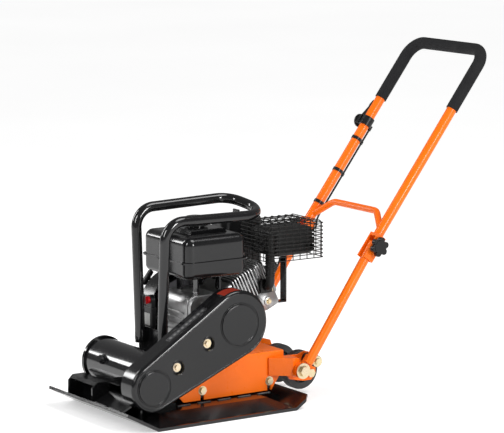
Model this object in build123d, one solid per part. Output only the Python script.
from build123d import *
import math
import os

# Walk-behind plate compactor with a belt-driven single-shaft exciter.
# Millimetres.  Origin: centre of the flat sole, on the ground.  +Z up.
# The machine travels towards -Y, the handle trails to +Y, and the belt
# guard is on +X (the operator's left when walking behind it).

# ---------------------------------------------------------------- base
PLATE_W = 424.0            # width of the base plate
SOLE_L = 422.0             # flat sole, fold to fold
PLATE_T = 8.0
FRONT_FLAP = (85.0, 45.0)  # run and rise of the front flap's underside
REAR_FLAP = (44.0, 30.0)
TIP_CHAMFER = 15.0
DECK_Z = 30.0              # top of the welded deck cover
DECK_TOP_W = 300.0
DECK_TOP_Y = (-172.0, 158.0)
SHEET_T = 5.0

# ------------------------------------------------------------- exciter
EXC_Y, EXC_Z = -168.0, 120.0
EXC_R = 58.0
EXC_X = (-128.0, 116.0)    # ends of the housing tube
BEARING_W = 22.0
SHAFT_R = 17.5

# ----------------------------------------------------- engine and drive
DECK_TOP = 137.0           # engine deck of the console
CRANK_Y, CRANK_Z = 45.0, 243.0
CRANK_R = 10.0
CYL_TILT = 25.0            # cylinder axis above the horizontal
GUARD_X = (137.0, 192.0)   # back plate plane and outer face
BELT_X = 162.0             # mid plane of the belt
BELT_W, BELT_H = 13.0, 9.0
CLUTCH_R = 51.2            # outer radii of the two pulleys
EXC_PULLEY_R = 33.0

# ------------------------------------------------------------- console
CONSOLE_X = 97.0           # half width
CONSOLE_Y = (-77.0, 246.0)
CONSOLE_BOTTOM = 34.0
CONSOLE_T = 6.0
MOUNT_Y = (-8.0, 200.0)
MOUNT_Z = 59.0

# -------------------------------------------------- handle and carriage
PIVOT_Y, PIVOT_Z = 267.0, 88.0
STOP_Y, STOP_Z = 315.0, 107.0
AXLE_Y, AXLE_Z = 328.0, 66.0
LOWER_ANGLE = 55.0         # lower and upper legs above the horizontal
UPPER_ANGLE = 52.8
LEG_X = 160.0
LEG_R = 12.5
UPPER_R = 13.5
FOLD_S = 383.0             # distances along the leg from the pivot
BRACE_S = (428.0, 482.0)
CLAMP_S = 737.0
GRIP_S = 815.0
TOP_S = 1006.0
TOP_BEND = 48.0
WHEEL_R, WHEEL_W = 52.0, 26.0
WHEEL_X = 50.0

# ---------------------------------------------------------------- cage
CAGE_R = 13.5
CAGE_Y = -102.0
CAGE_LOW = 172.0
CAGE_X_LOW = 54.0
# The hoop leans: its +X side runs lower and further back than its -X side.
CAGE_ROUTE = [(CAGE_X_LOW, CAGE_Y, CAGE_LOW), (76.0, -105.0, 503.0), (71.0, 224.0, 498.0),
              (-62.0, 178.0, 530.0), (-76.0, -100.0, 520.0), (-CAGE_X_LOW, CAGE_Y, CAGE_LOW)]
CAGE_BENDS = [52.0, 58.0, 58.0, 52.0]

GAP = 0.3                  # clearance between moving neighbours


# ------------------------------------------------------------- helpers
def box(x, y, z):
    """A box between the two limits given along each axis."""
    size = (x[1] - x[0], y[1] - y[0], z[1] - z[0])
    middle = ((x[0] + x[1]) / 2, (y[0] + y[1]) / 2, (z[0] + z[1]) / 2)
    return Pos(*middle) * Box(*size)


def rod_x(radius, x0, x1, y, z):
    """A cylinder lying along X."""
    return Pos((x0 + x1) / 2, y, z) * Rot(0, 90, 0) * Cylinder(radius, abs(x1 - x0))


def ring_x(outer, inner, x0, x1, y, z):
    """A tube lying along X."""
    return rod_x(outer, x0, x1, y, z) - rod_x(inner, x0 - 1, x1 + 1, y, z)


def rod_z(radius, x, y, z0, z1):
    return Pos(x, y, (z0 + z1) / 2) * Cylinder(radius, z1 - z0)


def prism_x(points, x0, x1):
    """A closed outline of (Y, Z) points, extruded along X."""
    face = make_face(Polyline(*points, close=True))
    return Pos(x0, 0, 0) * extrude(Plane.YZ * face, x1 - x0)


def prism_z(points, z0, z1):
    """A closed outline of (X, Y) points, extruded along Z."""
    face = make_face(Polyline(*points, close=True))
    return Pos(0, 0, z0) * extrude(face, z1 - z0)


def hull_x(circles, x0, x1):
    """The tangent hull of circles (y, z, radius), extruded along X."""
    edges = ShapeList()
    for y, z, radius in circles:
        edges += (Pos(y, z) * Circle(radius)).edges()
    return Pos(x0, 0, 0) * extrude(Plane.YZ * make_hull(edges), x1 - x0)


def strip(points, thickness):
    """The outline of a bent sheet: a path and its mitred offset to the left."""
    normals = []
    for (y0, z0), (y1, z1) in zip(points, points[1:]):
        length = math.hypot(y1 - y0, z1 - z0)
        normals.append(((z0 - z1) / length, (y1 - y0) / length))
    offset = []
    for i, (y, z) in enumerate(points):
        a = normals[max(i - 1, 0)]
        b = normals[min(i, len(normals) - 1)]
        scale = thickness / (1 + a[0] * b[0] + a[1] * b[1])
        offset.append((y + (a[0] + b[0]) * scale, z + (a[1] + b[1]) * scale))
    return list(points) + offset[::-1]


def hexagon_x(flats, x0, x1, y, z):
    """A hexagonal prism lying along X."""
    face = Plane.YZ * (Pos(y, z) * RegularPolygon(flats / math.sqrt(3), 6))
    return Pos(x0, 0, 0) * extrude(face, x1 - x0)


def hex_bolt_x(x, side, y, z, shank, length, washer=None):
    """A bolt whose washer or head bears on the plane x, its head towards side."""
    head = x
    bolt = []
    if washer:
        head = x + side * 2.0
        bolt.append(rod_x(washer, x, head, y, z))
    bolt.append(hexagon_x(shank * 3.2, min(head, head + side * shank * 1.2),
                          max(head, head + side * shank * 1.2), y, z))
    bolt.append(rod_x(shank, x - side * length, x, y, z))
    body = bolt[0]
    for piece in bolt[1:]:
        body += piece
    return body


def hex_bolt_z(x, y, z, shank, length):
    """An upright bolt whose head bears on the plane z."""
    head = Pos(x, y, z) * extrude(RegularPolygon(shank * 1.85, 6), shank * 1.3)
    return head + rod_z(shank, x, y, z - length, z)


def tube(points, radii, radius):
    """A round bar along straight runs joined by tangent arcs."""
    path = FilletPolyline(*points, radius=radii)
    section = Plane(path @ 0, z_dir=path % 0) * Circle(radius)
    return sweep(section, path=path)


def rounded_box(x, y, z, corner, edge):
    """A box with rounded upright corners and rounded top and bottom edges."""
    body = box(x, y, z)
    body = fillet(body.edges().filter_by(Axis.Z), corner)
    faces = body.faces().sort_by(Axis.Z)
    return fillet(faces[0].edges() + faces[-1].edges(), edge)


def direction(angle):
    return (math.cos(math.radians(angle)), math.sin(math.radians(angle)))


LOWER_DIR = direction(LOWER_ANGLE)
UPPER_DIR = direction(UPPER_ANGLE)
FOLD_Y = PIVOT_Y + FOLD_S * LOWER_DIR[0]
FOLD_Z = PIVOT_Z + FOLD_S * LOWER_DIR[1]


def lower(s, n=0.0):
    """(Y, Z) at s up the lower leg from the pivot, and n off its front face."""
    return (PIVOT_Y + s * LOWER_DIR[0] - n * LOWER_DIR[1],
            PIVOT_Z + s * LOWER_DIR[1] + n * LOWER_DIR[0])


def upper(s, n=0.0):
    """The same on the upper leg; s still counts from the pivot."""
    s -= FOLD_S
    return (FOLD_Y + s * UPPER_DIR[0] - n * UPPER_DIR[1],
            FOLD_Z + s * UPPER_DIR[1] + n * UPPER_DIR[0])


def on_lower(shape, x, s):
    """Moves a shape whose +Z runs up the leg and +Y off its front face."""
    return Plane((x, *lower(s)), x_dir=(-1, 0, 0), z_dir=(0, *LOWER_DIR)) * shape


def on_upper(shape, x, s):
    return Plane((x, *upper(s)), x_dir=(-1, 0, 0), z_dir=(0, *UPPER_DIR)) * shape


def pair(piece):
    """A piece and its mirror image across the machine's middle."""
    return [piece, mirror(piece, about=Plane.YZ)]


# ---------------------------------------------------------------- base
def flap_top(y):
    """Height of the front flap's top face at y."""
    run, rise = FRONT_FLAP
    cosine = run / math.hypot(run, rise)
    return (-SOLE_L / 2 - y) * rise / run + PLATE_T / cosine


def base_plate():
    half = SOLE_L / 2
    path = [(-half - FRONT_FLAP[0], FRONT_FLAP[1]), (-half, 0), (half, 0),
            (half + REAR_FLAP[0], REAR_FLAP[1])]
    plate = prism_x(strip(path, PLATE_T), -PLATE_W / 2, PLATE_W / 2)
    box_y = plate.bounding_box()
    x, c = PLATE_W / 2, TIP_CHAMFER
    y0, y1 = box_y.min.Y, box_y.max.Y
    plan = prism_z([(-x + c, y0), (x - c, y0), (x, y0 + c), (x, y1 - c),
                    (x - c, y1), (-x + c, y1), (-x, y1 - c), (-x, y0 + c)], -1, 100)
    return plate & plan


def frustum(inset, z0, z1):
    """The deck cover's outer form, set in by inset."""
    low = Pos(0, 0, z0) * Rectangle(PLATE_W - 14 - 2 * inset, SOLE_L - 14 - 2 * inset)
    front, rear = DECK_TOP_Y
    high = Pos(0, (front + rear) / 2, z1) * Rectangle(DECK_TOP_W - 2 * inset,
                                                     rear - front - 2 * inset)
    return loft([low.face(), high.face()])


def deck_cover():
    return frustum(0, PLATE_T, DECK_Z) - frustum(12, PLATE_T - 0.01, DECK_Z - SHEET_T)


CHANNEL_X = (-132.0, -6.0)
CHANNEL_TOP = 92.0
HOOD_TOP = 66.0
WELD_Y = -276.0            # front seam on the flap
HOOD_BACK_Y = -207.0
HOOD_X = 131.0             # outer end of the sloping cover
CHANNEL_BACK_Y = -228.0


def front_hood():
    """The sloping cover behind the front seam, beside the channel."""
    path = [(HOOD_BACK_Y - 3, PLATE_T + 0.6), (HOOD_BACK_Y - 3, HOOD_TOP),
            (HOOD_BACK_Y - 14, HOOD_TOP), (WELD_Y + 4, flap_top(WELD_Y + 4) + 0.6)]
    return prism_x(strip(path, SHEET_T), CHANNEL_X[1] + 0.2, HOOD_X) - base_plate()


def front_channel():
    """A forward-facing steel channel with closed ends, welded on the flap."""
    front, back = WELD_Y, CHANNEL_BACK_Y
    roof = [(back, CHANNEL_TOP), (front + 14, CHANNEL_TOP), (front + 6, CHANNEL_TOP - 8)]
    skin = prism_x(strip(roof, SHEET_T), *CHANNEL_X)
    wall = box(CHANNEL_X, (back - SHEET_T, back), (flap_top(back) - 3, CHANNEL_TOP))
    end = [(front, flap_top(front)), (front, CHANNEL_TOP - 14), (front + 14, CHANNEL_TOP),
           (back, CHANNEL_TOP), (back, flap_top(back))]
    channel = skin + wall
    for x in (CHANNEL_X[0], CHANNEL_X[1] - SHEET_T):
        channel += prism_x(end, x, x + SHEET_T)
    return channel - base_plate()


def exciter_saddle():
    """Four cradle plates between the deck cover and the exciter housing."""
    plates = []
    for x in (-104.0, -40.0, 28.0, 92.0):
        outline = [(EXC_Y - 34, DECK_Z), (EXC_Y - 46, EXC_Z - 12),
                   (EXC_Y + 50, EXC_Z - 12), (EXC_Y + 66, DECK_Z)]
        plate = prism_x(outline, x - 6, x + 6)
        plates.append(plate - rod_x(EXC_R, x - 10, x + 10, EXC_Y, EXC_Z))
    plates.append(box((-120, 108), (EXC_Y - 4, EXC_Y + 72), (DECK_Z, DECK_Z + 10)))
    saddle = plates[0]
    for plate in plates[1:]:
        saddle += plate
    return saddle - rod_x(EXC_R, -140, 140, EXC_Y, EXC_Z)


def exciter_housing():
    bore = EXC_R - 12
    housing = ring_x(EXC_R, bore, *EXC_X, EXC_Y, EXC_Z)
    boss = plug_boss(EXC_R - 4, EXC_R + 4, 13)
    return housing + (boss - rod_x(EXC_R - 6, *EXC_X, EXC_Y, EXC_Z)) - plug_boss(EXC_R - 14, EXC_R + 6, 8)


PLUG_X, PLUG_TILT = -42.0, 22.0    # filler plug: place and angle above the front


def plug_boss(r0, r1, radius):
    """A round boss standing radially out of the housing at the filler plug."""
    tilt = 90 - PLUG_TILT
    return (Pos(PLUG_X, EXC_Y, EXC_Z) * Rot(tilt, 0, 0)
            * Pos(0, 0, (r0 + r1) / 2) * Cylinder(radius, r1 - r0))


def exciter_oil_plug():
    place = Pos(PLUG_X, EXC_Y, EXC_Z) * Rot(90 - PLUG_TILT, 0, 0)
    stem = Pos(0, 0, EXC_R - 1) * Cylinder(8, 10)
    head = Pos(0, 0, EXC_R + 4) * extrude(RegularPolygon(11, 6), 8)
    return place * (stem + head)


def exciter_caps():
    x0, x1 = EXC_X
    left = rod_x(EXC_R + 5, x0 - 9, x0, EXC_Y, EXC_Z) + rod_x(42, x0 - 14, x0 - 9, EXC_Y, EXC_Z)
    left = fillet(left.edges().sort_by(Axis.X)[:1], 2)
    right = rod_x(EXC_R + 5, x1, x1 + 9, EXC_Y, EXC_Z)
    right -= rod_x(SHAFT_R + GAP, x1 - 1, x1 + 10, EXC_Y, EXC_Z)
    for y, z in cap_circle():
        left -= rod_x(3.5, x0 - 10, x0, y, z)
        right -= rod_x(3.5, x1, x1 + 10, y, z)
    return left, right


def cap_circle():
    """Bolt places on the end caps."""
    places = []
    for i in range(6):
        angle = math.radians(30 + 60 * i)
        places.append((EXC_Y + 54 * math.cos(angle), EXC_Z + 54 * math.sin(angle)))
    return places


def cap_bolts():
    bolts = []
    for y, z in cap_circle():
        for x, side in ((EXC_X[0] - 9, -1), (EXC_X[1] + 9, 1)):
            bolts.append(hex_bolt_x(x, side, y, z, 3.5, 9))
    return bolts


def exciter_rotor():
    """Shaft with its inner races, eccentric weight and pulley."""
    bore = EXC_R - 12
    x0, x1 = EXC_X
    races, rollers, outer = [], [], []
    for a in (x0 + 4, x1 - 4 - BEARING_W):
        races.append(ring_x(26, SHAFT_R, a, a + BEARING_W, EXC_Y, EXC_Z))
        outer.append(ring_x(bore, 39, a, a + BEARING_W, EXC_Y, EXC_Z))
        for i in range(12):
            angle = math.radians(30 * i)
            y, z = EXC_Y + 32.5 * math.cos(angle), EXC_Z + 32.5 * math.sin(angle)
            rollers.append(rod_x(6, a + 3, a + BEARING_W - 3, y, z))
    shaft = rod_x(SHAFT_R, x0 + 3, x1 + 12, EXC_Y, EXC_Z)
    shaft += rod_x(12, x1 + 12, BELT_X + 14, EXC_Y, EXC_Z)
    sector = rod_x(bore - 4, x0 + 44, x1 - 44, EXC_Y, EXC_Z)
    sector -= box((-200, 200), (EXC_Y - 80, EXC_Y + 80), (EXC_Z - 8, EXC_Z + 80))
    weight = sector + rod_x(SHAFT_R + 9, x0 + 44, x1 - 44, EXC_Y, EXC_Z)
    weight -= rod_x(SHAFT_R, -200, 200, EXC_Y, EXC_Z)
    return shaft, races, rollers, outer, weight


def pulley(radius, bore, y, z, hub):
    """A single-groove V pulley centred on the belt's plane."""
    half = BELT_W / 2 + 4
    top, floor = BELT_W / 2 + 0.8, BELT_W / 2 - 1.4
    depth = BELT_H + 2.5
    outline = [(bore, -half), (radius, -half), (radius, -top), (radius - depth, -floor),
               (radius - depth, floor), (radius, top), (radius, half), (bore, half)]
    face = make_face(Polyline(*outline, close=True))
    wheel = revolve(Plane.XZ * face, Axis.Z)
    wheel += Pos(0, 0, -half - 5) * (Cylinder(hub, 10) - Cylinder(bore, 12))
    return Pos(BELT_X, y, z) * Rot(0, 90, 0) * wheel


def belt():
    """The belt's trapezoid carried round both pulleys with a little side play."""
    def layer(drop, half):
        circles = [(CRANK_Y, CRANK_Z, CLUTCH_R + 1 - drop), (EXC_Y, EXC_Z, EXC_PULLEY_R + 1 - drop)]
        return hull_x(circles, BELT_X - half, BELT_X + half)
    top, low = BELT_W / 2, BELT_W / 2 - 1.6
    ring = layer(0, top)
    hollow = hull_x([(CRANK_Y, CRANK_Z, CLUTCH_R + 1 - BELT_H),
                     (EXC_Y, EXC_Z, EXC_PULLEY_R + 1 - BELT_H)], BELT_X - 20, BELT_X + 20)
    ring -= hollow
    rim = ring.faces().sort_by(Axis.X)
    inner = [e for f in (rim[0], rim[-1]) for w in f.inner_wires() for e in w.edges()]
    return chamfer(inner, BELT_H * 0.8, top - low)


# --------------------------------------------------------------- guard
GUARD_LOW = (-210.0, 108.0, 64.0)      # y, z, radius of the rounded ends
GUARD_HIGH = (45.0, 243.0, 87.0)
GUARD_WALL = 2.5
GUARD_BOLTS = [(-140.0, 152.0), (-49.0, 203.0)]
GUARD_DISCS = [(-212.0, 108.0, 43.0), (45.0, 243.0, 52.0)]


POCKET_R = 15.0                    # the bolts' seats, at their bottom


def belt_guard():
    x0, x1 = GUARD_X
    outer = hull_x([GUARD_LOW, GUARD_HIGH], x0, x1)
    outer = fillet(outer.faces().sort_by(Axis.X)[-1].edges(), 9)
    w = GUARD_WALL
    inside = hull_x([(y, z, r - w) for y, z, r in (GUARD_LOW, GUARD_HIGH)], x0 - 1, x1 - w)
    inside = fillet(inside.faces().sort_by(Axis.X)[-1].edges(), 6)
    for y, z in GUARD_BOLTS:
        outer -= Pos(x1, y, z) * Rot(0, 90, 0) * Cone(POCKET_R, POCKET_R + 6, 16)
        inside -= Pos(x1 - w, y, z) * Rot(0, 90, 0) * Cone(POCKET_R + w, POCKET_R + 6 + w, 16)
    guard = outer - inside
    for y, z, r in GUARD_DISCS:
        disc = rod_x(r, x1 - 1, x1 + 3, y, z)
        guard += fillet(disc.edges().sort_by(Axis.X)[-1:], 2.4)
        guard -= ring_x(r + 7, r + 3, x1 - 1.2, x1 + 1, y, z)
    for y, z in GUARD_BOLTS:
        guard -= rod_x(4.3, x0 - 1, x1 + 1, y, z)
    return guard


def guard_back():
    """Sheet between the guard and the engine, open round both shafts."""
    x1 = GUARD_X[0]
    plate = hull_x([GUARD_LOW, GUARD_HIGH], x1 - 3, x1)
    plate -= rod_x(34, x1 - 5, x1 + 1, EXC_Y, EXC_Z)
    plate -= rod_x(40, x1 - 5, x1 + 1, CRANK_Y, CRANK_Z)
    for y, z in GUARD_BOLTS:
        post = ring_x(8, 4.3, x1, GUARD_X[1] - 8 - GUARD_WALL, y, z)
        plate += post
        plate -= rod_x(4.3, x1 - 4, x1 + 1, y, z)
    return plate


# ------------------------------------------------------------- console
ENGINE_BOLTS = [(-62.0, -26.0), (-62.0, 106.0), (56.0, -26.0), (56.0, 106.0)]


def engine_console():
    x, t = CONSOLE_X, CONSOLE_T
    y0, y1 = CONSOLE_Y
    under = DECK_TOP - t
    body = box((-x, x), (y0, y1), (under, DECK_TOP))
    side = [(y0, under), (y0, CONSOLE_BOTTOM + 14), (y0 + 12, CONSOLE_BOTTOM),
            (207, CONSOLE_BOTTOM), (y1, 86), (y1, under)]
    for sign in (-1, 1):
        body += prism_x(side, *sorted((sign * x, sign * (x - t))))
    body += box((-x, x), (y1 - t, y1), (86, under))
    body += box((-x, x), (y0, y0 + t), (84, under))
    crown = [e for e in body.edges().filter_by(Axis.Y)
             if abs(e.center().X) > x - 1 and e.center().Z > DECK_TOP - 1]
    body = fillet(crown, 5)
    for y in MOUNT_Y:
        body -= box((-x - 1, x + 1), (y - 5.5, y + 5.5), (CONSOLE_BOTTOM - 1, MOUNT_Z))
        body -= rod_x(5.5, -x - 1, x + 1, y, MOUNT_Z)
    for bx, by in ENGINE_BOLTS + CAGE_FOOT_BOLTS:
        body -= rod_z(4, bx, by, under - 1, DECK_TOP + 1)
    return body


MOUNT_X = (56.0, CONSOLE_X - CONSOLE_T)    # inner and outer ends of a rubber mount


def mounts():
    """Rubber mounts, their bolts, and the rails on the deck that carry them."""
    rubber, bolts, rails = [], [], []
    for sign in (-1, 1):
        x0, x1 = sign * MOUNT_X[0], sign * MOUNT_X[1]
        rail = box(sorted((sign * 48, x0)), (-34, 226), (DECK_Z, 86))
        for y in MOUNT_Y:
            body = ring_x(21, 5, x0, x1, y, MOUNT_Z) if sign > 0 else ring_x(21, 5, x1, x0, y, MOUNT_Z)
            rubber.append(body)
            bolts.append(hex_bolt_x(sign * CONSOLE_X, sign, y, MOUNT_Z, 5, 57, 12)
                         + hexagon_x(15, *sorted((sign * 41, sign * 48)), y, MOUNT_Z))
            rail -= rod_x(5, *sorted((sign * 40, sign * 60)), y, MOUNT_Z)
        rails.append(rail)
    return rubber, bolts, rails


PIVOT_BOLT_R = 8.0
EYE_X = (149.0, 157.0)
BRACKET_X = (CONSOLE_X, CONSOLE_X + 6)


def rear_bracket():
    """The +X rear bracket: side plate, flared wing and pivot tube in one weldment."""
    x0, x1 = BRACKET_X
    outline = [(214, 122), (214, 92), (246, 84), (262, 56), (306, 47), (331, 47),
               (345, 62), (345, 92), (336, 120), (312, 127), (290, 120)]
    plate = prism_x(outline, x0, x1)
    wing = [(x0, 196), (x0 + 6, 196), (140, 248), (140, 268), (134, 268), (134, 251), (x0, 204)]
    plate += prism_z(wing, 74, 118)
    plate += prism_z([(x0, 196), (x0 + 6, 196), (140, 248), (140, 262), (x0, 262)], 116, 121)
    plate += rod_x(21, x0, EYE_X[0] - GAP, PIVOT_Y, PIVOT_Z)
    plate -= rod_x(PIVOT_BOLT_R, x0 - 1, EYE_X[0] + 1, PIVOT_Y, PIVOT_Z)
    plate -= rod_x(5, x0 - 1, x1 + 1, STOP_Y, STOP_Z)
    plate -= rod_x(8, x0 - 1, x1 + 1, AXLE_Y, AXLE_Z)
    return plate


def pivot_bolt():
    x = EYE_X[1] + GAP
    bolt = rod_x(21, x, x + 3, PIVOT_Y, PIVOT_Z) + hexagon_x(24, x + 3, x + 12, PIVOT_Y, PIVOT_Z)
    bolt += rod_x(PIVOT_BOLT_R, BRACKET_X[0], x, PIVOT_Y, PIVOT_Z)
    return bolt


STOP_X = (BRACKET_X[1], 153.0)


def stop_radius():
    """The stop reaches to a hair's breadth from the resting leg."""
    dy, dz = STOP_Y - PIVOT_Y, STOP_Z - PIVOT_Z
    off = abs(dy * LOWER_DIR[1] - dz * LOWER_DIR[0])
    return off - LEG_R - GAP


def rubber_stop():
    return ring_x(stop_radius(), 5, *STOP_X, STOP_Y, STOP_Z)


def stop_bolt():
    bolt = hex_bolt_x(STOP_X[1], 1, STOP_Y, STOP_Z, 5, STOP_X[1] - BRACKET_X[0], 14.5)
    return bolt


# -------------------------------------------------------------- wheels
def wheel():
    """A moulded wheel with a grooved tread, a web and six ribs each side."""
    x0, x1 = WHEEL_X - WHEEL_W / 2, WHEEL_X + WHEEL_W / 2
    y, z = AXLE_Y, AXLE_Z
    tyre = fillet(rod_x(WHEEL_R, x0, x1, y, z).edges(), 2.5) - rod_x(34, x0 - 1, x1 + 1, y, z)
    for x in (x0 + 7, WHEEL_X, x1 - 7):
        tyre -= ring_x(WHEEL_R + 1, WHEEL_R - 1.2, x - 0.8, x + 0.8, y, z)
    body = tyre + rod_x(34.5, WHEEL_X - 2.5, WHEEL_X + 2.5, y, z)
    body += rod_x(14, x0 - 3, x1 + 3, y, z)
    for i in range(6):
        rib = Pos(WHEEL_X, y, z) * Rot(60 * i + 12, 0, 0) * Pos(0, 23.5, 0) * Box(WHEEL_W - 5, 24, 4)
        body += rib
    return body - rod_x(8.06, x0 - 5, x1 + 5, y, z)


def axle_parts():
    x = BRACKET_X[1]
    axle = rod_x(8, -x, x, AXLE_Y, AXLE_Z)
    for sign in (-1, 1):
        axle += hexagon_x(21, *sorted((sign * x, sign * (x + 8))), AXLE_Y, AXLE_Z)
    outer = WHEEL_X + WHEEL_W / 2 + 3 + GAP
    inner = WHEEL_X - WHEEL_W / 2 - 3 - GAP
    spacers = [ring_x(12, 8, -inner, inner, AXLE_Y, AXLE_Z)]
    for sign in (-1, 1):
        a, b = sorted((sign * outer, sign * BRACKET_X[0]))
        spacers.append(ring_x(12, 8, a, b, AXLE_Y, AXLE_Z))
    return axle, spacers


# ---------------------------------------------------------------- cage
CAGE_FOOT_BOLTS = [(-72.0, -58.0), (72.0, -58.0)]


def cage_tube():
    return tube(CAGE_ROUTE, CAGE_BENDS, CAGE_R)


def cage_bracket():
    """An angle on the deck's front edge with a seat round each upright."""
    back = CAGE_Y + CAGE_R + 6
    plate = box((-84, 84), (back - 6, back), (DECK_TOP - 14, 212))
    plate += box((-84, 84), (back - 6, -44), (DECK_TOP, DECK_TOP + 6))
    for sign in (-1, 1):
        x = sign * (CAGE_X_LOW + 2)
        seat = box(sorted((x - 20, x + 20)), (CAGE_Y - 4, back - 6), (CAGE_LOW + 4, 206))
        plate += seat
        rib = prism_x([(back, DECK_TOP + 6), (-48, DECK_TOP + 6), (back, 196)], sign * 30 - 3, sign * 30 + 3)
        plate += rib
    plate -= cage_tube()
    for x, y in CAGE_FOOT_BOLTS:
        plate -= rod_z(4, x, y, DECK_TOP - 1, DECK_TOP + 8)
    return plate


# -------------------------------------------------------------- engine
def cyl_plane(s):
    """A plane square to the cylinder's axis, s from the crank."""
    tilt = math.radians(CYL_TILT)
    axis = (0, math.cos(tilt), math.sin(tilt))
    origin = (0, CRANK_Y + s * axis[1], CRANK_Z + s * axis[2])
    return Plane(origin, x_dir=(1, 0, 0), z_dir=axis)


def cyl_block(x, n, s0, s1, corner=0.0):
    """A block square to the cylinder's axis; n is measured towards the top."""
    sketch = Pos((x[0] + x[1]) / 2, -(n[0] + n[1]) / 2) * Rectangle(x[1] - x[0], n[1] - n[0])
    if corner:
        sketch = fillet(sketch.vertices(), corner)
    return extrude(cyl_plane(s0) * sketch, s1 - s0)


CASE_X = (-70.0, 66.0)
OIL_PLACE = Pos(34, -34, 172) * Rot(62, 0, 0)
OIL_BORE = 6.0
CASE_NECK = ((-58, 58), (-56, 46), 40, 88, 10)     # stub that carries the cylinder


def crankcase():
    x0, x1 = CASE_X
    case = box((x0, x1), (-34, 116), (DECK_TOP + 10, 302))
    case = fillet(case.edges().filter_by(Axis.X), 26)
    case += cyl_block(*CASE_NECK)
    case -= box((-200, 200), (-200, 200), (0, DECK_TOP + 10))
    case += box((x0 - 6, x1 + 2), (-38, 118), (DECK_TOP, DECK_TOP + 10))
    hollow = box((x0 + 8, x1 + 1), (-24, 106), (DECK_TOP + 18, 292))
    case -= fillet(hollow.edges().filter_by(Axis.X), 20)
    case -= extrude(cyl_plane(60) * Circle(34), 40)
    case -= rod_x(CRANK_R + 12, x0 - 1, x0 + 10, CRANK_Y, CRANK_Z)
    for x, y in ENGINE_BOLTS:
        case -= rod_z(4, x, y, DECK_TOP - 1, DECK_TOP + 30)
        case -= box((x - 9, x + 9), (y - 9, y + 9), (DECK_TOP + 10, DECK_TOP + 30))
    for z in (208, 224, 240, 256):
        case += box((x0 + 16, x1 - 14), (-37, -33), (z - 2, z + 2))
    return case - OIL_PLACE * Cylinder(OIL_BORE, 60)


def case_cover():
    """The output-side cover with its shaft boss, ribs and rim bolts."""
    x0, x1 = CASE_X[1], CASE_X[1] + 14
    outline = box((x0, x1), (-32, 114), (DECK_TOP + 14, 300))
    cover = fillet(outline.edges().filter_by(Axis.X), 26)
    cover += rod_x(38, x1, x1 + 12, CRANK_Y, CRANK_Z)
    cover -= rod_x(CRANK_R + 0.5, x0 - 1, x1 + 20, CRANK_Y, CRANK_Z)
    for i in range(8):
        rib = (Pos(x1 + 3, CRANK_Y, CRANK_Z) * Rot(45 * i, 0, 0) * Pos(0, 48, 0) * Box(6, 26, 4))
        cover += rib
    return cover


def crank_rotor():
    """Crankshaft with webs, and the flywheel with its fan blades."""
    shaft = rod_x(13, -15, 15, CRANK_Y, CRANK_Z + 22)
    for side, end in ((-1, -118), (1, BELT_X + 16)):
        web = rod_x(36, side * 14, side * 26, CRANK_Y, CRANK_Z - 10)
        web += rod_x(21, side * 14, side * 26, CRANK_Y, CRANK_Z + 22)
        shaft += web + rod_x(19, side * 26, side * 52, CRANK_Y, CRANK_Z)
        shaft += rod_x(CRANK_R, side * 52, end, CRANK_Y, CRANK_Z)
    wheel_body = ring_x(78, CRANK_R, -108, -84, CRANK_Y, CRANK_Z)
    for i in range(16):
        blade = Pos(-116, CRANK_Y, CRANK_Z) * Rot(22.5 * i, 0, 0) * Pos(0, 60, 0) * Box(16, 30, 3)
        wheel_body += blade
    return shaft, wheel_body


def clutch_drum():
    """The bell outboard of the groove, and the shoes' carrier inside it."""
    x0 = BELT_X + BELT_W / 2 + 4
    drum = ring_x(46, 42, x0, x0 + 8, CRANK_Y, CRANK_Z) + ring_x(46, 14, x0, x0 + 2, CRANK_Y, CRANK_Z)
    carrier = ring_x(20, CRANK_R, x0 + 2.4, x0 + 8, CRANK_Y, CRANK_Z)
    for i in range(3):
        arm = Pos(x0 + 5.2, CRANK_Y, CRANK_Z) * Rot(120 * i, 0, 0) * Pos(0, 28, 0) * Box(5.6, 20, 22)
        carrier += arm
    return drum, carrier & rod_x(41, 0, 300, CRANK_Y, CRANK_Z)


SHROUD_R = 102.0
SHROUD_X = (-137.0, -77.0)
RECOIL_X = (-164.0, SHROUD_X[0])
RECOIL_R = 87.0


def fan_shroud():
    x0, x1 = SHROUD_X
    def form(inset, a, b):
        drum = rod_x(SHROUD_R - inset, a, b, CRANK_Y, CRANK_Z)
        duct = cyl_block((a, b), (-62 + inset, 56 - inset), 30, 114 - inset)
        return drum + duct
    shell = form(0, x0, x1)
    shell = fillet(shell.edges().filter_by(GeomType.CIRCLE).sort_by(Axis.X)[:1], 7)
    shell -= form(2.5, x0 + 2.5, x1 + 1)
    return shell - rod_x(74, x0 - 1, x0 + 4, CRANK_Y, CRANK_Z)


def recoil_cover():
    """A dished cover with a ring of curved cooling slots."""
    x0, x1 = RECOIL_X
    cover = rod_x(RECOIL_R, x0, x1, CRANK_Y, CRANK_Z)
    cover = fillet(cover.edges().sort_by(Axis.X)[:1], 12)
    cover -= rod_x(RECOIL_R - 2.5, x0 + 16, x1 + 1, CRANK_Y, CRANK_Z)
    cover -= rod_x(RECOIL_R - 16, x0 + 3, x1 + 1, CRANK_Y, CRANK_Z)
    for i in range(18):
        slot = Pos(x0, CRANK_Y, CRANK_Z) * Rot(20 * i + 8, 0, 0) * Pos(0, 58, 0) * Box(20, 26, 6)
        cover -= slot
    cover += rod_x(34, x0 - 3, x0, CRANK_Y, CRANK_Z)
    return cover - GRIP_GUIDE


GRIP_Y, GRIP_Z = CRANK_Y - 52.0, CRANK_Z + 66.0
GRIP_GUIDE = Pos(RECOIL_X[0] + 14, GRIP_Y, GRIP_Z) * Rot(52, 0, 0) * Cylinder(5, 60)


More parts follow.
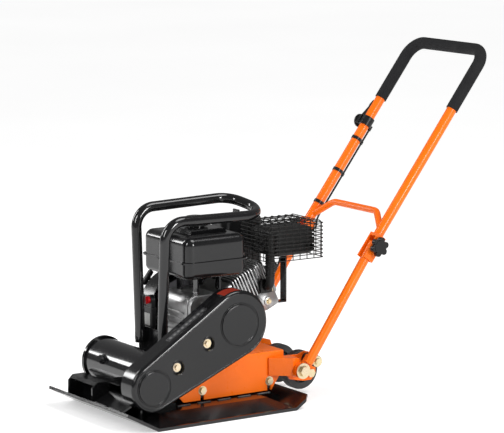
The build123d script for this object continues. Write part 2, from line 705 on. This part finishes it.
def recoil_parts():
    """Starter pulley inside the cover; grip and cord end on the pull line."""
    reel = ring_x(52, 9, RECOIL_X[0] + 4, RECOIL_X[1] - 8, CRANK_Y, CRANK_Z)
    reel += ring_x(9, 4, RECOIL_X[0] + 3, RECOIL_X[0] + 8, CRANK_Y, CRANK_Z)
    place = Pos(RECOIL_X[0] + 14, GRIP_Y, GRIP_Z) * Rot(52, 0, 0)
    handle = fillet(Box(14, 44, 14).edges(), 5)
    grip = place * (Pos(0, 0, 18) * handle + Pos(0, 0, 6) * Cylinder(4.4, 14))
    return reel, grip


TANK_X, TANK_Y = (-118.0, 102.0), (-56.0, 130.0)
TANK_Z = (350.0, 394.0, 460.0)     # bottom, seam, shoulder
CAP_X, CAP_Y = -8.0, 42.0
CAP_SEAT = 473.0


def tank_half(low, inset):
    x0, x1 = TANK_X[0] + inset, TANK_X[1] - inset
    y0, y1 = TANK_Y[0] + inset, TANK_Y[1] - inset
    bottom, seam, top = TANK_Z
    if low:
        body = box((x0, x1), (y0, y1), (bottom + inset, seam))
        body = fillet(body.edges().filter_by(Axis.Z), 24)
        return fillet(body.faces().sort_by(Axis.Z)[0].edges(), 16)
    body = box((x0, x1), (y0, y1), (seam, top - inset))
    body = fillet(body.edges().filter_by(Axis.Z), 24)
    return fillet(body.faces().sort_by(Axis.Z)[-1].edges(), 22)


def fuel_tank():
    """Two pressed halves on a seam flange, a crown round the filler, a neck."""
    x0, x1, y0, y1 = *TANK_X, *TANK_Y
    seam = TANK_Z[1]
    flange = box((x0 - 6, x1 + 6), (y0 - 6, y1 + 6), (seam - 2, seam + 2))
    flange = fillet(flange.edges().filter_by(Axis.Z), 28)
    crown = Pos(CAP_X, CAP_Y, TANK_Z[2] - 6) * extrude(Rectangle(130, 120).face(), 16, taper=35)
    tank = tank_half(True, 0) + flange + tank_half(False, 0)
    tank += fillet(crown.edges().filter_by(Axis.Z, reverse=True).sort_by(Axis.Z)[-4:], 3)
    tank -= tank_half(True, 2.5) + tank_half(False, 2.5)
    neck = rod_z(22, CAP_X, CAP_Y, TANK_Z[2] - 30, CAP_SEAT + 4)
    tank = tank - neck + (neck - rod_z(19, CAP_X, CAP_Y, TANK_Z[2] - 40, CAP_SEAT + 5))
    return tank


def fuel_cap():
    cap = rod_z(31, CAP_X, CAP_Y, CAP_SEAT + 1, CAP_SEAT + 24)
    cap = fillet(cap.edges().sort_by(Axis.Z)[-1:], 5)
    for i in range(12):
        cap -= (Pos(CAP_X, CAP_Y, CAP_SEAT) * Rot(0, 0, 30 * i) * Pos(33, 0, 14) * Cylinder(4, 30))
    return cap - rod_z(22 + GAP, CAP_X, CAP_Y, CAP_SEAT - 1, CAP_SEAT + 4.4)


def tank_legs():
    """Stays between the crankcase, the shroud and the tank's underside."""
    legs = []
    for x, y in ((-40.0, 10.0), (40.0, 10.0), (-40.0, 78.0), (40.0, 78.0)):
        stay = box((x - 10, x + 10), (y - 2, y + 2), (302, TANK_Z[0]))
        legs.append(stay - cyl_block(*CASE_NECK))
    return legs


def cylinder():
    """Barrel with its cooling fins."""
    barrel = extrude(cyl_plane(88) * Circle(42), 82) - extrude(cyl_plane(80) * Circle(34), 100)
    for i in range(8):
        s = 94 + 9 * i
        fin = cyl_block((-58, 58), (-62, 50), s, s + 3, 8)
        barrel += fin - extrude(cyl_plane(s - 1) * Circle(40), 6)
    return barrel


HEAD_N = (-76.0, 46.0)             # the head reaches well below the bore's axis


def cylinder_head():
    low, high = HEAD_N
    head = cyl_block((-52, 52), HEAD_N, 170, 200, 10)
    for i in range(4):
        s = 173 + 7 * i
        head += cyl_block((-58, 58), (low - 5, high + 5), s, s + 3, 8)
    for x in ((46, 62), (-62, -46)):
        head += cyl_block(x, (-34, -4), 176, 196, 5)
    return head - extrude(cyl_plane(160) * Circle(30), 18)


def valve_cover():
    cover = cyl_block((-50, 20), (-70, 12), 200, 229, 12)
    top = cover.faces().sort_by(lambda f: f.center().Y + f.center().Z)[-1]
    cover = fillet(top.edges(), 6)
    return cover + cyl_block((-54, 24), (-74, 16), 200, 204, 12)


PLUG_PLACE = (36.0, -8.0)          # on the head's end, across and downwards


def spark_plug():
    plug = extrude(cyl_plane(200) * (Pos(PLUG_PLACE) * RegularPolygon(11, 6)), 10)
    boot = extrude(cyl_plane(210) * (Pos(PLUG_PLACE) * Circle(10)), 34)
    return plug, boot


def air_cleaner():
    x = (-138.0, -64.0)
    base = rounded_box(x, (170, 286), (300, 331), 12, 4)
    cover = rounded_box((x[0], x[1] + 2), (164, 291), (332, 471), 20, 11)
    cover -= rounded_box((x[0] + 3, x[1] - 1), (167, 288), (331, 468), 17, 8) & box(
        (-200, 0), (0, 400), (331.5, 500))
    element = rounded_box((x[0] + 14, x[1] - 12), (180, 276), (332, 440), 12, 3)
    wing = rod_z(4, -101, 228, 471, 480) + Pos(-101, 228, 482) * Box(26, 5, 10)
    return base, cover, element, wing


CARB_FACE = -104.0         # outer face of the carburettor
ARM_PIN = (238.0, 284.0)   # throttle arm's pivot, (Y, Z)
ARM_END = (203.0, 268.0)   # where the cable takes hold of it
BOWL_X, BOWL_Y = -84.0, 252.0


def carburettor():
    """Throttle body, manifold to the head, float bowl and cable anchor."""
    body = rounded_box((CARB_FACE, -64), (232, 270), (262, 299.7), 5, 3)
    body += box((-68, -62.3), (204, 262), (266, 299.7))
    bowl = fillet(rod_z(19, BOWL_X, BOWL_Y, 236, 263).edges().sort_by(Axis.Z)[:1], 5)
    bowl += rod_z(5, BOWL_X, BOWL_Y, 230, 236)
    x, y, z = CABLE_ROUTE[-1]
    anchor = box((CARB_FACE - 3, CARB_FACE + 3), (y, BOWL_Y - 12), (z - 10, z))
    anchor += rod_z(5, x, y, z - 10, z)
    anchor -= rod_z(CABLE_R + 0.4, x, y, z - 12, z + 1)
    return body + bowl + anchor


def lever_x(pin, end, radius, x0, x1):
    """A tapering lever between two points, with a round eye at its pin."""
    (y0, z0), (y1, z1) = pin, end
    return hull_x([(y0, z0, radius), (y1, z1, radius * 0.55)], x0, x1)


def levers():
    """Choke and fuel levers and the throttle arm, on the carburettor's outer face."""
    x = CARB_FACE - GAP
    choke = lever_x((258, 290), (286, 296), 5, x - 3, x)
    fuel = lever_x((262, 271), (256, 246), 5, x - 3, x)
    arm = lever_x(ARM_PIN, ARM_END, 5, x - 2.4, x)
    return choke, fuel, arm


MUFFLER_X, MUFFLER_Y = (-22.0, 94.0), (218.0, 350.0)
MUFFLER_Z = (384.0, 456.0)
GUARD_BOX = ((-36.0, 110.0), (194.0, 368.0), (374.0, 474.0))
PORT_Y, PORT_Z = 212.0, 306.0      # the exhaust port's pipe beside the head


def muffler_form(inset):
    """The muffler's rounded body, set in by inset."""
    x, y, z = [(low + inset, high - inset) for low, high in (MUFFLER_X, MUFFLER_Y, MUFFLER_Z)]
    return rounded_box(x, y, z, 22 - inset, 12 - inset)


def muffler():
    """Body with its seam and tail pipe, and the pipe up its front corner."""
    (x0, x1), (y0, y1), (z0, z1) = MUFFLER_X, MUFFLER_Y, MUFFLER_Z
    middle = (z0 + z1) / 2
    seam = box((x0 - 4, x1 + 4), (y0 - 4, y1 + 4), (middle - 2, middle + 2))
    body = muffler_form(0) + fillet(seam.edges().filter_by(Axis.Z), 24)
    body += exhaust_elbow()
    body += rod_x(9, x1 - 4, x1 + 10, 328, z0 + 22)
    return body - muffler_form(2) - rod_x(7, x1 - 5, x1 + 12, 328, z0 + 22)


def muffler_guard():
    """A folded grille over the muffler: four sides and a roof, open below."""
    (x0, x1), (y0, y1), (z0, z1) = GUARD_BOX
    t, pitch, hole = 2.0, 19.0, 15.0
    shell = box((x0, x1), (y0, y1), (z0, z1))
    shell = fillet(shell.edges().filter_by(Axis.Z) + shell.faces().sort_by(Axis.Z)[-1].edges(), 7)
    inside = box((x0 + t, x1 - t), (y0 + t, y1 - t), (z0 - 9, z1 - t))
    shell -= fillet(inside.edges(), 5)
    cx, cy, cz = (x0 + x1) / 2, (y0 + y1) / 2, (z0 + z1) / 2
    nx, ny, nz = 6, 8, 5
    roof = Pos(cx, cy, z1 - 8) * extrude(Sketch() + [
        Pos(p.position.X, p.position.Y) * Rectangle(hole, hole)
        for p in GridLocations(pitch, pitch, nx, ny)], 16)
    sides_x = Plane.YZ * (Sketch() + [Pos(cy + p.position.X, cz + p.position.Y) * Rectangle(hole, hole)
                                      for p in GridLocations(pitch, pitch, ny, nz)])
    sides_y = Plane.XZ * (Sketch() + [Pos(cx + p.position.X, cz + p.position.Y) * Rectangle(hole, hole)
                                      for p in GridLocations(pitch, pitch, nx, nz)])
    shell -= roof
    shell -= Pos(x0 - 5, 0, 0) * extrude(sides_x, x1 - x0 + 10)
    shell -= Pos(0, y1 + 5, 0) * extrude(sides_y, y1 - y0 + 10)
    return shell


def exhaust_elbow():
    """From the head's exhaust port up the muffler's front corner."""
    x = MUFFLER_X[1] - 10
    pipe = tube([(62, PORT_Y, PORT_Z), (x, PORT_Y, PORT_Z), (x, PORT_Y, MUFFLER_Z[1] - 14)], [16], 12)
    return pipe + box((62, 68), (PORT_Y - 18, PORT_Y + 18), (PORT_Z - 17, PORT_Z + 17))


def muffler_strap():
    """The bracket from the head's lower corner up to the muffler."""
    strap = box((30, 54), (281, 285), (254, MUFFLER_Z[0]))
    strap += box((30, 54), (250, 285), (254, 258))
    return strap - cyl_block((0, 70), (-90, 60), 150, 200)


KNOB_X, KNOB_Z = -57.0, 280.0


def switch_box():
    """Control box ahead of the shroud with a round switch on top of it."""
    case = rounded_box((-92, -40), (-76, -60), (206, 262), 4, 3)
    case += box((KNOB_X - 13, KNOB_X + 13), (-74, -62), (255, KNOB_Z))
    case += Pos(KNOB_X, -68, KNOB_Z) * Rot(90, 0, 0) * Cylinder(13, 12)
    case += box((-66, -44), (-62, -34), (227, 237))
    front = -74 - GAP
    knob = Pos(KNOB_X, front - 3, KNOB_Z) * Rot(90, 0, 0) * Cylinder(9.5, 6)
    knob += Pos(KNOB_X, front - 7, KNOB_Z) * Box(5, 6, 19)
    return case, knob


def dipstick():
    neck = OIL_PLACE * Pos(0, 0, 5) * Cylinder(13, 12)
    neck -= box((0, 80), (-34, 20), (150, 200))
    neck -= OIL_PLACE * Cylinder(OIL_BORE, 60)
    cap = OIL_PLACE * (Pos(0, 0, 17) * Cylinder(15, 11.4) + Pos(0, 0, 24.5) * Box(6, 24, 8)
                       + Pos(0, 0, -2) * Cylinder(2, 32))
    return neck, cap


# -------------------------------------------------------------- handle
def handle_lower():
    """Two straight legs, flat eyes at the pivot and rounded ends in the forks."""
    parts = []
    for sign in (-1, 1):
        x = sign * LEG_X
        length = FOLD_S + 10 - 23
        bar = on_lower(Pos(0, 0, length / 2) * Cylinder(LEG_R, length), x, 23)
        eye = Rot(0, 90, 0) * Cylinder(19, EYE_X[1] - EYE_X[0])
        eye += Pos(0, 22, 0) * Box(EYE_X[1] - EYE_X[0], 44, 25)
        bar += Pos(sum(EYE_X) / 2 * sign, PIVOT_Y, PIVOT_Z) * Rot(LOWER_ANGLE, 0, 0) * eye
        bar -= rod_x(PIVOT_BOLT_R + 0.06, *sorted((sign * 140, sign * 190)), PIVOT_Y, PIVOT_Z)
        bar -= rod_x(5.06, x - 20, x + 20, FOLD_Y, FOLD_Z)
        beyond = on_lower(Pos(0, 0, 15) * Box(40, 60, 30), x, FOLD_S)
        bar -= beyond - rod_x(LEG_R + 0.9, x - 25, x + 25, FOLD_Y, FOLD_Z)
        parts.append(bar)
    return parts


FORK = (LEG_R + 0.6, LEG_R + 3.6)      # inner and outer half widths of the fork
FORK_LOW = 42.0                        # how far the fork reaches below the fold


def hoop(s0, radius):
    """The upper handle's tube from s0 on one leg round to the other."""
    low, top = upper(s0), upper(TOP_S)
    points = [(LEG_X, *low), (LEG_X, *top), (-LEG_X, *top), (-LEG_X, *low)]
    return tube(points, [TOP_BEND, TOP_BEND], radius)


def handle_upper():
    """The hoop, its fork plates at the fold, and the brace between the legs."""
    inner, outer = FORK
    bar = hoop(FOLD_S + 23, UPPER_R)
    for x in (-LEG_X, LEG_X):
        height = FORK_LOW + 32
        for side in (-1, 1):
            cheek = Pos(side * (inner + outer) / 2, 0, height / 2) * Box(outer - inner, 30, height)
            bar += on_upper(cheek, x, FOLD_S - FORK_LOW)
        web = Pos(0, -inner - 2.6, height / 2) * Box(2 * outer, 3, height)
        bar += on_upper(web, x, FOLD_S - FORK_LOW)
        plug = Pos(0, -1, 4.5) * Box(2 * outer, 30, 9)
        bar += on_upper(plug, x, FOLD_S + 23)
        bar -= rod_x(5, x - 20, x + 20, FOLD_Y, FOLD_Z)
    foot, flat = BRACE_S
    brace = tube([(-LEG_X, *upper(foot)), (-LEG_X + 62, *upper(flat)), (LEG_X - 62, *upper(flat)),
                  (LEG_X, *upper(foot))], [34, 34], 9)
    return bar + brace


def fold_bolt(sign):
    """Bolt through fork and leg, its thread ending inside the star knob."""
    x = LEG_X * sign
    inner = x - sign * FORK[1]
    bolt = hexagon_x(15, *sorted((inner, inner - sign * 7)), FOLD_Y, FOLD_Z)
    return bolt + rod_x(5, *sorted((inner, x + sign * 32)), FOLD_Y, FOLD_Z)


def star_knob(sign):
    """Six-lobed hand knob outboard of the fork."""
    y, z = FOLD_Y, FOLD_Z
    face = LEG_X + FORK[1] + GAP
    body = rod_x(18, face + 8, face + 24, y, z)
    for i in range(6):
        angle = math.radians(60 * i + 12)
        lobe = rod_x(8.5, face + 9, face + 23, y + 18 * math.cos(angle), z + 18 * math.sin(angle))
        body += fillet(lobe.edges(), 2)
    body += rod_x(11, face, face + 9, y, z)
    body -= rod_x(5.06, face - 1, LEG_X + 32.4, y, z)
    return body if sign > 0 else mirror(body, about=Plane.YZ)


GRIP_R = 16.5


def foam_grip():
    """The sleeve over the whole of the hoop's top."""
    return hoop(GRIP_S, GRIP_R) - hoop(GRIP_S - 40, UPPER_R)


def throttle():
    """Clamp and housing on the -X leg, with the lever that turns on its outer face."""
    x = -LEG_X
    clamp = on_upper(Cylinder(UPPER_R + 4, 26) - Cylinder(UPPER_R, 30), x, CLAMP_S)
    block = Pos(22, 0, 0) * Box(14, 30, 26)
    clamp += on_upper(block - Cylinder(UPPER_R + 1, 40), x, CLAMP_S)
    disc_x = x - 29
    clamp += rod_x(19, disc_x - 5, disc_x, *upper(CLAMP_S))
    clamp += on_upper(Pos(0, -CABLE_N, -9) * Cylinder(CABLE_R + 2, 14), x, CLAMP_S)
    clamp -= on_upper(Pos(0, -CABLE_N, -9) * Cylinder(CABLE_R, 18), x, CLAMP_S)
    clamp -= rod_x(3.06, disc_x - 6, disc_x + 6, *upper(CLAMP_S))
    near, far = disc_x - 5 - GAP, disc_x - 9
    lever = rod_x(16, far, near, *upper(CLAMP_S))
    middle = x - (near + far) / 2
    tilt = Rot(12, 0, 0)
    lever += on_upper(Pos(middle, 0, 0) * tilt * Pos(0, 0, 34) * Box(3.4, 13, 50), x, CLAMP_S)
    tip = fillet(Box(10, 17, 24).edges(), 4)
    lever += on_upper(Pos(middle, 0, 0) * tilt * Pos(0, 0, 64) * tip, x, CLAMP_S)
    lever += rod_x(3, far, disc_x + 4, *upper(CLAMP_S))
    return clamp, lever


# --------------------------------------------------------------- cable
CABLE_R = 2.7
CABLE_N = 21.0                     # cable's distance off the leg's axis
CABLE_TOP, CABLE_BOTTOM = 726.0, 452.0
UPPER_CLIPS = (680.0, 575.0, 470.0)
LOWER_CLIP = 318.0
# Across the fold, as (x inboard of the leg, s, n): it passes from the rear of
# the upper leg, inside the fork, to the front of the lower leg.
FOLD_ROUTE = [(0.0, 452.0, -21.0), (0.0, 430.0, -21.0), (18.0, 408.0, -22.0), (31.0, 390.0, -8.0),
              (31.0, 372.0, 10.0), (16.0, 352.0, 22.0), (0.0, 334.0, 21.0), (0.0, 310.0, 21.0)]
# Free run: from the clip on the lower leg down to the carburettor's anchor.
CABLE_ROUTE = [(-160.0, 427.6, 354.0), (-160.0, 413.8, 334.3), (-155.0, 396.0, 302.0),
               (-150.0, 368.0, 268.0), (-144.0, 332.0, 240.0), (-137.0, 297.0, 222.0),
               (-128.0, 262.0, 212.0), (-118.0, 230.0, 208.0), (-108.0, 200.0, 222.0),
               (-108.0, 200.0, 252.0)]


def route_radii(points):
    """Bend radii: 0.45 of the shorter run over the tangent of half the turn."""
    radii = []
    for a, b, c in zip(points, points[1:], points[2:]):
        first, second = Vector(*b) - Vector(*a), Vector(*c) - Vector(*b)
        half = math.radians(first.get_angle(second) / 2)
        radii.append(0.45 * min(first.length, second.length) / math.tan(half))
    return radii


def cable(points, name):
    radii = route_radii(points)
    print(name, "radii", [round(r) for r in radii])
    return tube(points, radii, CABLE_R)


def cable_parts():
    """Held run on the upper leg, the run across the fold, and the free run."""
    length = CABLE_TOP - CABLE_BOTTOM
    held = on_upper(Pos(0, -CABLE_N, length / 2) * Cylinder(CABLE_R, length), -LEG_X, CABLE_BOTTOM)
    route = []
    for inboard, s, n in FOLD_ROUTE:
        place = upper(s, n) if s > FOLD_S else lower(s, n)
        route.append((-LEG_X + inboard, *place))
    return held, cable(route, "fold"), cable(CABLE_ROUTE, "free")


def cable_clip(inner, side):
    """A band round the leg with a loop for the cable on its front or rear."""
    band = Cylinder(inner + 1.6, 9) - Cylinder(inner, 12)
    loop = Pos(0, side * CABLE_N, 0) * Cylinder(CABLE_R + 1.5, 9)
    neck = Pos(0, side * (inner + CABLE_N) / 2, 0) * Box(4, CABLE_N - inner, 9)
    clip = band + loop + (neck - Cylinder(inner, 12))
    return clip - Pos(0, side * CABLE_N, 0) * Cylinder(CABLE_R, 12)


# -------------------------------------------------------------- export
def base_parts():
    shaft, races, rollers, outer, weight = exciter_rotor()
    rubber, mount_bolts, rails = mounts()
    guard_bolts = [hex_bolt_x(GUARD_X[1] - 8, 1, y, z, 4, 30, 11.5) for y, z in GUARD_BOLTS]
    deck_bolts = [hex_bolt_z(x, y, DECK_TOP + 10, 4, 18) for x, y in ENGINE_BOLTS]
    deck_bolts += [hex_bolt_z(x, y, DECK_TOP + 6, 4, 14) for x, y in CAGE_FOOT_BOLTS]
    bracket = rear_bracket()
    axle, spacers = axle_parts()
    return {
        "base_plate": base_plate(),
        "deck_cover": [deck_cover(), front_hood()],
        "front_channel": front_channel(),
        "pedestal": [exciter_saddle(), *rails],
        "exciter_housing": [exciter_housing(), exciter_oil_plug()],
        "exciter_end_caps": list(exciter_caps()),
        "exciter_bearings": outer + rollers,
        "exciter_shaft": [shaft, *races],
        "eccentric_weight": weight,
        "exciter_pulley": pulley(EXC_PULLEY_R, 12, EXC_Y, EXC_Z, 20),
        "v_belt": belt(),
        "belt_guard": [belt_guard(), guard_back()],
        "hex_bolts": [*cap_bolts(), *guard_bolts, *deck_bolts],
        "engine_console": engine_console(),
        "rubber_mounts": rubber + pair(rubber_stop()),
        "washer_bolts": mount_bolts + pair(pivot_bolt()) + pair(stop_bolt()),
        "rear_bracket_left": bracket,
        "rear_bracket_right": mirror(bracket, about=Plane.YZ),
        "wheel_left": wheel(),
        "wheel_right": mirror(wheel(), about=Plane.YZ),
        "wheel_axle": [axle, *spacers],
        "roll_cage": cage_tube(),
        "cage_bracket": cage_bracket(),
    }


def engine_parts():
    shaft, wheel_body = crank_rotor()
    drum, shoes = clutch_drum()
    reel, grip = recoil_parts()
    plug, boot = spark_plug()
    base, cover, element, nut = air_cleaner()
    choke, fuel, arm = levers()
    case, knob = switch_box()
    neck, cap = dipstick()
    return {
        "crankcase": [crankcase(), neck],
        "crankcase_cover": case_cover(),
        "crankshaft": shaft,
        "flywheel": wheel_body,
        "centrifugal_clutch": [pulley(CLUTCH_R, CRANK_R, CRANK_Y, CRANK_Z, 24), drum, shoes],
        "fan_shroud": fan_shroud(),
        "recoil_cover": [recoil_cover(), reel],
        "recoil_grip": grip,
        "fuel_tank": fuel_tank(),
        "fuel_cap": fuel_cap(),
        "engine_stays": [*tank_legs(), muffler_strap()],
        "cylinder": cylinder(),
        "cylinder_head": cylinder_head(),
        "valve_cover": valve_cover(),
        "spark_plug": plug + boot,
        "air_cleaner_base": [base, element],
        "air_cleaner_cover": [cover, nut],
        "carburettor": carburettor(),
        "choke_lever": choke,
        "fuel_lever": fuel,
        "throttle_arm": arm,
        "muffler": muffler(),
        "muffler_guard": muffler_guard(),
        "switch_box": case,
        "switch_knob": knob,
        "oil_dipstick": cap,
    }


def handle_parts():
    clamp, lever = throttle()
    upper, fold, free = cable_parts()
    clips = [on_upper(cable_clip(UPPER_R, -1), -LEG_X, s) for s in UPPER_CLIPS]
    lower_clip = on_lower(cable_clip(LEG_R, 1), -LEG_X, LOWER_CLIP)
    return {
        "handle_lower": [*handle_lower(), lower_clip],
        "handle_upper": handle_upper(),
        "fold_bolts": [fold_bolt(1), fold_bolt(-1)],
        "star_knob_left": star_knob(1),
        "star_knob_right": star_knob(-1),
        "foam_grip": foam_grip(),
        "throttle_clamp": [clamp, *clips],
        "throttle_lever": lever,
        "throttle_cable_upper": upper,
        "throttle_cable_fold": fold,
        "throttle_cable_free": free,
    }


def save(parts):
    """One STEP file per node; a node of several pieces is a group of solids."""
    os.makedirs("parts", exist_ok=True)
    for name, shape in parts.items():
        pieces = shape if isinstance(shape, list) else [shape]
        solids = [solid for piece in pieces for solid in piece.solids()]
        whole = solids[0] if len(solids) == 1 else Compound(children=solids)
        export_step(whole, "parts/" + name + ".step")


save({**base_parts(), **engine_parts(), **handle_parts()})
